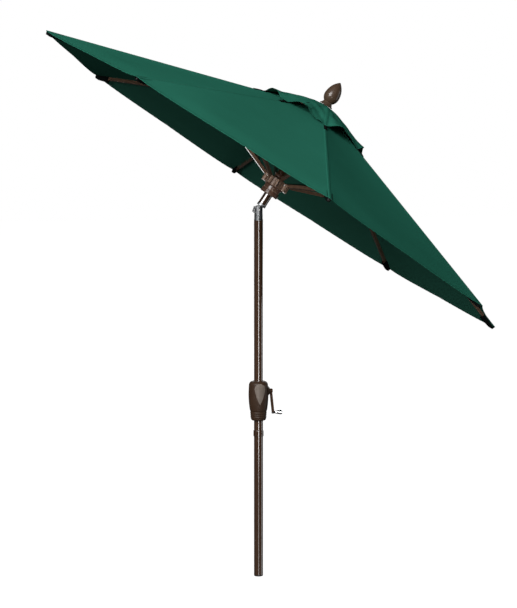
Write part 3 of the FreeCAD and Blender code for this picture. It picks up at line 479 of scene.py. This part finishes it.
HEM = 18 * MM
SEAM = 6.2 * MM
CREASES = (0.37, 0.69)
CANOPY_WAVES = waves(5, 4, 190 * MM, 420 * MM, 0.22 * MM)


def canopy_rows():
    """Corner radii of the canopy's rows, closer at the hems and at the packing creases."""
    hem = np.array([0, 0.6, 2, 9, 17.2, 18.6, 20.5, 25, 33, 44]) * MM
    near = np.array([-12, -6, -2.5, 0, 2.5, 6, 12]) * MM
    kept = [RIM - hem, VENT + hem] + [crease_radius(share) + near for share in CREASES]
    kept = np.sort(np.concatenate(kept))
    plain = np.arange(VENT + 58 * MM, RIM - 55 * MM, 14 * MM)
    clear = [rho for rho in plain if abs(kept - rho).min() > 6 * MM]
    return np.sort(np.concatenate([kept, clear]))


def crease_radius(share):
    return VENT + (RIM - VENT) * share


def canopy_rise(kite, rho, away):
    """How far the cloth stands off its plain kite: sag, creases, pulls and puckers."""
    off = abs(away)
    half = rho * SIN
    share = off / half
    down = (rho - VENT) / (RIM - VENT)
    panel, across = kite.panel_place(rho, away)
    clear = ease(off, SEAM, 60 * MM)
    rise = -9 * MM * np.sin(math.pi * np.clip(down, 0, 1)) * (1 - (1 - share) ** 2)
    rise -= 9 * MM * ease(down, 0.84, 1.06) * (1 - np.exp(-off / (70 * MM)))
    for crease in CREASES:
        rise += 0.45 * MM * np.exp(-abs(rho - crease_radius(crease)) / (20 * MM)) * clear
    rise += 0.35 * MM * np.exp(-abs(across) / (20 * MM)) * ease(down, 0.05, 0.3)
    rise += CANOPY_WAVES(panel, across, rho) * clear * ease(RIM - rho, 0, 60 * MM)
    seam_pull = np.exp(-np.clip(off - SEAM, 0, None) / (16 * MM)) * ease(off, 0, SEAM)
    rise += 0.3 * MM * np.sin(math.tau * rho / (21 * MM) + 2 * kite.step) * seam_pull
    from_hem = np.clip(RIM - HEM - rho, 0, None)
    hem_pull = np.exp(-from_hem / (14 * MM)) * ease(off, SEAM, 30 * MM)
    rise += 0.35 * MM * np.sin(math.tau * across / (27 * MM)) * hem_pull
    corner = np.hypot(RIM - rho, off)
    fan = np.cos(7 * np.arctan2(off, RIM - rho + 1e-6))
    rise += 0.8 * MM * fan * ease(off, 3 * MM, 40 * MM) * np.exp(-corner / (80 * MM))
    return rise


def canopy_doubled(rho, away):
    """1 where the cloth is doubled, in the hems and in the seam over the rib."""
    hem = 1 - ease(np.minimum(RIM - rho, rho - VENT), HEM - 0.8 * MM, HEM + 0.4 * MM)
    seam = 1 - ease(abs(away), SEAM - 0.6 * MM, SEAM + 0.9 * MM)
    return np.maximum(hem, seam)


def canopy_point(kite, rho, away, above):
    """Point above the middle of the cloth, in the row frame."""
    share = abs(away) / (rho * SIN)
    tuck = 5 * MM * share**2 * ease(rho, RIM - 160 * MM, RIM)
    made = kite.base(rho - tuck / COS, away)
    rise = canopy_rise(kite, rho, away) + above
    return kite.turned(made + kite.normal(away) * rise[..., None])


def canopy_cloth(number):
    """One kite of the canopy, with its hems, its seam and its stitching."""
    kite = Kite(number - 1, VENT, RIM, VENT_HEIGHT, SLOPE)
    rows = canopy_rows()
    near = np.array([0, 2.4, 4.6, 5.6, 6.8, 10, 17]) * MM
    aside = np.stack([spread(near, rho * SIN, 28) for rho in rows])
    away = np.concatenate([-aside[:, :0:-1], aside], axis=1)
    rho = np.repeat(rows[:, None], away.shape[1], axis=1)
    doubled = canopy_doubled(rho, away)
    seam = 1 - ease(abs(away), SEAM - 0.6 * MM, SEAM + 0.9 * MM)
    edge = ease(np.minimum(RIM - rho, rho - VENT), 0, 0.7 * MM) * 0.8 + 0.2
    above = (0.5 * MM + 0.55 * MM * doubled) * edge + 0.35 * MM * (1 + seam)
    below = 0.35 * MM - (0.25 * MM + 0.4 * MM * doubled) * edge
    top = canopy_point(kite, rho, away, above)
    bottom = canopy_point(kite, rho, away, below)
    flat = kite.flat(rho, away)
    cloth = closed_sheet(f"canopy_cloth_{number}", top, bottom, flat, doubled, "canopy_fabric")
    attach(cloth, f"rib_{number}")
    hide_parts(f"canopy_{number}")
    extras = [canopy_stitching(kite, number), pocket(number)]


def beads(name, centres, along, normals, length, width, finish):
    """Stitches: small eight-sided lozenges lying along a line."""
    side = np.cross(normals, along)
    offsets = (
        (along, length / 2),
        (side, width / 2),
        (-along, length / 2),
        (-side, width / 2),
        (normals, width * 0.6),
        (-normals, width * 0.6),
    )
    verts = np.stack([centres + way * size for way, size in offsets], axis=1).reshape(-1, 3)
    shape = [(0, 1, 4), (1, 2, 4), (2, 3, 4), (3, 0, 4), (1, 0, 5), (2, 1, 5), (3, 2, 5), (0, 3, 5)]
    faces = [[6 * i + j for j in face] for i in range(len(centres)) for face in shape]
    return new_object(name, verts, faces, finish)


def stitch_line(point_at, ticks):
    """Places, directions and normals of stitches along a line on the cloth's upper side."""
    here, ahead, above = (point_at(ticks, lift) for lift in (0, None, 0.4 * MM))
    along = ahead - here
    along /= np.linalg.norm(along, axis=-1, keepdims=True)
    normals = above - here
    normals /= np.linalg.norm(normals, axis=-1, keepdims=True)
    return here, along, normals


def canopy_stitching(kite, number):
    """Two rows along the seam, and one row round each hem."""
    pitch, start = 4.2 * MM, 3 * MM
    lines = []
    top = 0.5 * MM + 0.55 * MM + 0.35 * MM

    def seam_at(aside):
        def point(ticks, lift):
            rho = ticks + (1 * MM if lift is None else 0)
            above = top + 0.3 * MM + (lift or 0)
            return canopy_point(kite, rho, np.full_like(rho, aside), above)

        return point

    def hem_at(rho, side):
        def point(ticks, lift):
            away = side * (ticks + (1 * MM if lift is None else 0))
            return canopy_point(kite, np.full_like(away, rho), away, top + (lift or 0))

        return point

    for aside in (-4 * MM, 4 * MM):
        lines.append(stitch_line(seam_at(aside), np.arange(VENT + start, RIM - start, pitch)))
    for rho in (RIM - HEM + 2.5 * MM, VENT + HEM - 2.5 * MM):
        for side in (-1, 1):
            ticks = np.arange(SEAM + start, rho * SIN - 1 * MM, pitch)
            lines.append(stitch_line(hem_at(rho, side), ticks))
    centres, along, normals = (np.concatenate(part) for part in zip(*lines))
    name = f"canopy_stitching_{number}"
    made = beads(name, centres, along, normals, 3.1 * MM, 0.7 * MM, "thread")
    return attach(made, f"rib_{number}")


# ---------------------------------------------------------------- rib pockets


def rib_frame(number):
    """Pin and outward, sideways and upward directions of a rib, in the row frame."""
    pin = np.array(JOINTS[f"rib_{number}_fold"]["pos_m"])
    side = np.array(JOINTS[f"rib_{number}_fold"]["axis"])
    droop = math.atan(SLOPE)
    heading = (number - 1) * TURN
    level = np.array([math.cos(heading), math.sin(heading), 0])
    out = HEAD_TURN @ (level * math.cos(droop) - np.array([0, 0, math.sin(droop)]))
    return pin, out, side, np.cross(out, side)


def rib_reach():
    """Distance from a rib's pin to the end of its cap's nose."""
    pin, out, _, _ = rib_frame(1)
    return ((node_points("rib_tip_1") - pin) @ out).max()


POCKET = 72 * MM


def pocket(number):
    """Black webbing pocket under a corner, which holds the rib's cap."""
    pin, out, side, up = rib_frame(number)
    end = rib_reach()
    outline = np.array(
        [(-13, 7.7), (-10.4, 6.6), (-9.3, 2), (-8.9, -5), (-7.2, -9.3), (-3.5, -10.6), (0, -10.9)]
    )
    mirrored = outline[-2::-1] * (-1, 1)
    section = np.concatenate([outline, mirrored]) * MM
    stations = np.linspace(0, 1, 15)
    wall = 1.1 * MM

    def skin(thick):
        rings = []
        for share in stations:
            narrow = 1 - 0.16 * ease(share, 0.8, 1.0) + 0.03 * math.sin(9 * share + number)
            drop = 1.7 - 0.7 * share - 0.35 * ease(share, 0.75, 1.0)
            x = end - POCKET - 1 * MM + POCKET * share
            y = section[:, 0] * narrow * (1 - thick / (12 * MM))
            z = section[:, 1] * np.where(section[:, 1] < 0, drop, 1)
            z = z + thick * (section[:, 1] < 0)
            rings.append(pin + out * x + y[:, None] * side + z[:, None] * up)
        return np.stack(rings)

    outer, inner = skin(0), skin(wall)
    girth = np.concatenate([[0], np.cumsum(np.linalg.norm(np.diff(section, axis=0), axis=1))])
    flat = np.stack(np.meshgrid(girth, stations * POCKET), axis=-1)
    rim = (stations < 0.1) | (stations > 0.92)
    layers = np.repeat(rim[:, None].astype(float), len(girth), axis=1)
    made = closed_sheet(f"rib_pocket_{number}", inner, outer, flat, layers, "webbing")
    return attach(made, f"rib_{number}")


# ---------------------------------------------------------------- vent cap

CAP_TOP = 24 * MM
CAP_HEM = 11 * MM
CAP_TUCK = 10 * MM
CAP_DOME = 12 * MM
TACKED = 6
CAP_ARCHES = np.array([10, 24, 20, 0, 20, 23, 30, 20]) * MM
CAP_FALLS = np.array([0.8, 0.8, 0.8, 0.8, 0.8, 0.8, 1.0, 0.8])
CAP_WAVES = waves(8, 4, 50 * MM, 120 * MM, 1.0 * MM)


def uphill_share(panel, share, away):
    """Place along a panel's hem: 0 at its upper corner as the head leans, 1 at its lower."""
    place = np.where(away >= 0, share / 2, 1 - share / 2)
    return np.where(panel >= RIBS // 2, place, 1 - place)


def cap_rise(kite, rho, away):
    """Arched hems, fullest towards the upper corners, a dome round the finial, and folds."""
    share = np.clip(abs(away) / (rho * SIN), 0, 1)
    down = np.clip((rho - CAP_TOP) / (CAP_RIM - CAP_TOP), 0, 1)
    panel, across = kite.panel_place(rho, away)
    along = uphill_share(panel, share, away)
    arch = ease(along, 0, 0.3) * (1 - ease(along, 0.36, CAP_FALLS[panel]))
    rise = CAP_ARCHES[panel] * down**2.6 * arch + 3.5 * MM * down**3 * ease(share, 0.05, 0.3)
    rise += CAP_DOME * np.sin(math.pi * down**0.75)
    round_crown = TURN * (panel + np.where(away >= 0, share / 2, 1 - share / 2))
    folds = np.cos(9 * round_crown + 1) + 0.7 * np.cos(14 * round_crown + 2.2)
    rise += 1.9 * MM * folds * np.exp(-(rho - CAP_TOP) / (75 * MM)) * ease(down, 0, 0.2)
    rise += CAP_WAVES(panel, across, rho) * ease(abs(away), SEAM, 30 * MM) * ease(down, 0.05, 0.3)
    return rise


def cap_point(kite, rho, away, above):
    share = abs(away) / (rho * SIN)
    down = (rho - CAP_TOP) / (CAP_RIM - CAP_TOP)
    tuck = CAP_TUCK * share**2 * down**3
    made = kite.base(rho - tuck / COS, away)
    rise = cap_rise(kite, rho, away) + above
    return kite.turned(made + kite.normal(away) * rise[..., None])


def cap_kite(number):
    top_height = CAP_TOP_HEIGHT - 0.4 * MM
    slope = (top_height - CAP_RIM_HEIGHT) / (CAP_RIM - CAP_TOP)
    return Kite(number - 1, CAP_TOP, CAP_RIM, top_height, slope)


def cap_cloth(number):
    """One kite of the vent cap, clamped under the finial and sewn to the canopy at its corner."""
    kite = cap_kite(number)
    hem = np.array([0, 0.6, 2, 6, 10.4, 11.6, 14, 19]) * MM
    rows = np.concatenate([np.linspace(CAP_TOP, CAP_RIM - 25 * MM, 30), CAP_RIM - hem[::-1]])
    near = np.array([0, 2.4, 4.6, 5.6, 6.8]) * MM
    aside = np.stack([spread(near, max(rho * SIN, 8.5 * MM), 14) for rho in rows])
    away = np.concatenate([-aside[:, :0:-1], aside], axis=1)
    rho = np.repeat(rows[:, None], away.shape[1], axis=1)
    hemmed = 1 - ease(CAP_RIM - rho, CAP_HEM - 0.6 * MM, CAP_HEM + 0.6 * MM)
    seam = 1 - ease(abs(away), SEAM - 0.6 * MM, SEAM + 0.9 * MM)
    doubled = np.maximum(hemmed, seam)
    edge = ease(CAP_RIM - rho, 0, 0.7 * MM) * 0.8 + 0.2
    top = cap_point(kite, rho, away, (0.1 * MM + 0.5 * MM * doubled) * edge)
    bottom = cap_point(kite, rho, away, -(0.5 * MM + 0.3 * MM * doubled) * edge)
    flat = kite.flat(rho, away)
    cloth = closed_sheet(f"vent_cloth_{number}", top, bottom, flat, doubled, "canopy_fabric")
    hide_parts("vent_cap")
    start, end = (
        kite.turned(np.array([radius, 0, kite.level(radius)])) for radius in (70 * MM, 235 * MM)
    )
    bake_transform(cloth)
    extras = [cap_tab(number)]
    if number == TACKED:
        extras.append(cap_tack(kite))
    width, length, area = kite.cut()


def cap_tab(number):
    """Black tab that ties a corner of the cap to the canopy's seam."""
    canopy = Kite(number - 1, VENT, RIM, VENT_HEIGHT, SLOPE)
    length, half, thick = 52 * MM, 8 * MM, 2.2 * MM
    rows = CAP_RIM - 10 * MM + length * np.linspace(0, 1, 12)
    away = np.repeat(np.linspace(-half, half, 7)[None], len(rows), axis=0)
    rho = np.repeat(rows[:, None], 7, axis=1)
    share = (rho - rows[0]) / length
    puff = 1.5 * MM * np.sin(math.pi * share) ** 2 + 1.9 * MM
    top = canopy_point(canopy, rho, away, puff + thick)
    bottom = canopy_point(canopy, rho, away, puff)
    flat = np.stack([away, rho], axis=-1)
    layers = (abs(share - 0.5) > 0.4).astype(float)
    made = closed_sheet(f"cap_tab_{number}", top, bottom, flat, layers, "webbing")
    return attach(made, f"rib_{number}")


def cap_tack(kite):
    """Dark bar tack on one panel of the cap."""
    ticks = CAP_RIM - np.linspace(92, 68, 9) * MM

    def point(rho, lift):
        rho = rho + (0.4 * MM if lift is None else 0)
        return cap_point(kite, rho, rho * SIN * 0.5, 0.9 * MM + (lift or 0))

    made = beads("cap_tack", *stitch_line(point, ticks), 3.4 * MM, 2 * MM, "webbing")
    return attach(made, f"rib_{TACKED}")


# ---------------------------------------------------------------- rivets


HEAD_SIZES = {"runner": (3.6 * MM, 1.8 * MM), "bracket": (3.4 * MM, 1.7 * MM)}
LUG_HALF_WIDTH = 10.4 * MM
BRACKET_HALF_WIDTH = 5.2 * MM
STRUT_PIN_OUT, STRUT_PIN_DOWN = 510 * MM, 15 * MM


def dome(radius, height, sides=16, rings=4):
    """Rivet head standing on Z, as rings of points about its axis."""
    turn = math.tau * np.arange(sides) / sides
    circle = np.stack([np.cos(turn), np.sin(turn), np.zeros(sides)], axis=-1)
    verts = []
    for angle in np.linspace(0, math.pi / 2, rings + 1)[:-1]:
        verts.append(radius * math.cos(angle) * circle + (0, 0, height * math.sin(angle)))
    verts = np.concatenate([*verts, [[0, 0, height]]])
    faces = []
    for ring in range(rings - 1):
        low, high = ring * sides, (ring + 1) * sides
        for i in range(sides):
            after = (i + 1) % sides
            faces.append([low + i, low + after, high + after, high + i])
    last = (rings - 1) * sides
    faces += [[last + i, last + (i + 1) % sides, len(verts) - 1] for i in range(sides)]
    faces.append(list(range(sides))[::-1])
    return verts, faces


def rivets(name, places, kind, body):
    """Rivet heads as one piece.  A place is a centre and the direction that the head faces."""
    shape, pattern = dome(*HEAD_SIZES[kind])
    verts, faces = [], []
    for centre, facing in places:
        turn = np.array(Vector(facing).to_track_quat("Z", "Y").to_matrix())
        faces += [[i + len(verts) * len(shape) for i in face] for face in pattern]
        verts.append(shape @ turn.T + centre)
    made = new_object(name, np.concatenate(verts), faces, "zinc_steel")
    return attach(made, body)


def runner_rivets():
    """Heads on both sides of each lug, at the ends of the strut pins."""
    places = []
    for number in range(1, RIBS + 1):
        joint = JOINTS[f"strut_{number}_fold"]
        side = np.array(joint["axis"])
        for way in (-1, 1):
            places.append((np.array(joint["pos_m"]) + way * side * LUG_HALF_WIDTH, way * side))
    rivets("runner_rivets", places, "runner", "runner")


def strut_rivets(number):
    """Heads on the rib's bracket, at the ends of the strut's outer pin."""
    pin, out, side, up = rib_frame(number)
    centre = pin + out * STRUT_PIN_OUT - up * STRUT_PIN_DOWN
    places = [(centre + way * side * BRACKET_HALF_WIDTH, way * side) for way in (-1, 1)]
    rivets(f"bracket_rivets_{number}", places, "bracket", f"rib_{number}")


# ---------------------------------------------------------------- studio


def floor():
    """Pale floor that glows as bright as the backdrop, and doesn't light the umbrella."""
    verts = np.array([(-14, -16, 0), (14, -16, 0), (14, 22, 0), (-14, 22, 0)], float)
    finish = Finish("floor", Roughness=0.9, Specular_IOR_Level=0.0, Emission_Strength=1.0)
    grain = finish.between(finish.noise(3, 2), 0, 1)
    finish.colour(finish.mix(grain, (0.05, 0.05, 0.05), (0.06, 0.06, 0.06)))
    finish.shader.inputs["Emission Color"].default_value = (1, 1, 1, 1)
    FINISHES["floor"] = finish.material
    made = new_object("floor", verts, [[0, 1, 2, 3]], "floor")
    made.visible_diffuse = made.visible_glossy = made.visible_shadow = False


def world():
    """White seen directly; as a light, a dim dome that is a little brighter from below."""
    sky = bpy.data.worlds.new("studio")
    bpy.context.scene.world = sky
    sky.use_nodes = True
    tree = sky.node_tree
    make, link = tree.nodes.new, tree.links.new
    back = tree.nodes["Background"]
    way = make("ShaderNodeSeparateXYZ")
    link(make("ShaderNodeTexCoord").outputs["Generated"], way.inputs[0])
    ramp = make("ShaderNodeMapRange")
    ramp.inputs["From Min"].default_value, ramp.inputs["From Max"].default_value = -0.4, 0.3
    ramp.inputs["To Min"].default_value, ramp.inputs["To Max"].default_value = 0.03, 0.09
    link(way.outputs[2], ramp.inputs["Value"])
    seen = make("ShaderNodeLightPath").outputs["Is Camera Ray"]
    strength = make("ShaderNodeMix")
    link(seen, strength.inputs[0])
    link(ramp.outputs[0], strength.inputs[2])
    strength.inputs[3].default_value = 1.0
    link(strength.outputs[0], back.inputs["Strength"])
    back.inputs["Color"].default_value = (1, 1, 1, 1)


def softbox(name, place, target, width, height, glow):
    """Rectangular lamp whose face shines glow times as bright as white paper at full light."""
    lamp = bpy.data.lights.new(name, "AREA")
    lamp.shape = "RECTANGLE"
    lamp.size, lamp.size_y, lamp.energy = width, height, glow * math.pi * width * height
    made = bpy.data.objects.new(name, lamp)
    bpy.context.scene.collection.objects.link(made)
    made.location = place
    made.rotation_euler = (Vector(target) - Vector(place)).to_track_quat("-Z", "Y").to_euler()


def lights():
    """A key high on the left, two strips near the camera, and dim panels round the sides."""
    middle = (0.25, 0, 1.5)
    softbox("key", (-4.37, -6.05, 5.55), middle, 5.0, 5.0, 21)
    softbox("strip", (-0.27, -3.6, 0.6), (0, 0, 0.6), 0.4, 1.5, 20)
    softbox("low_strip", (-0.27, -3.6, -0.6), (0, 0, 0.1), 0.5, 0.9, 5)
    softbox("left_panel", (-4.3, -2.5, 0.8), (0, 0, 0.8), 7.0, 5.0, 0.06)
    softbox("right_panel", (4.6, -0.6, 0.6), (0, 0, 0.6), 1.2, 4.0, 3.0)
    softbox("back_panel", (3.0, 7.5, 2.0), middle, 8.0, 5.0, 2.5)
    softbox("bounce", (3.2, -4.4, -2.6), middle, 3.0, 3.0, 0.4)


def camera():
    lens = bpy.data.cameras.new("camera")
    lens.lens, lens.sensor_width = 129.7, 36
    made = bpy.data.objects.new("camera", lens)
    bpy.context.scene.collection.objects.link(made)
    made.location = (-1.521, -9.053, 2.153)
    pitch = math.radians(-6.13)
    level = Vector((0.1657, 0.9862, 0)).normalized()
    look = level * math.cos(pitch) + Vector((0, 0, math.sin(pitch)))
    made.rotation_mode = "QUATERNION"
    made.rotation_quaternion = look.to_track_quat("-Z", "Y")
    bpy.context.scene.camera = made


# ---------------------------------------------------------------- build

camera()
world()
lights()
floor()
finish_nodes()
for number in range(1, RIBS + 1):
    canopy_cloth(number)
    cap_cloth(number)
    strut_rivets(number)
runner_rivets()
bpy.context.scene.view_settings.view_transform = "Standard"
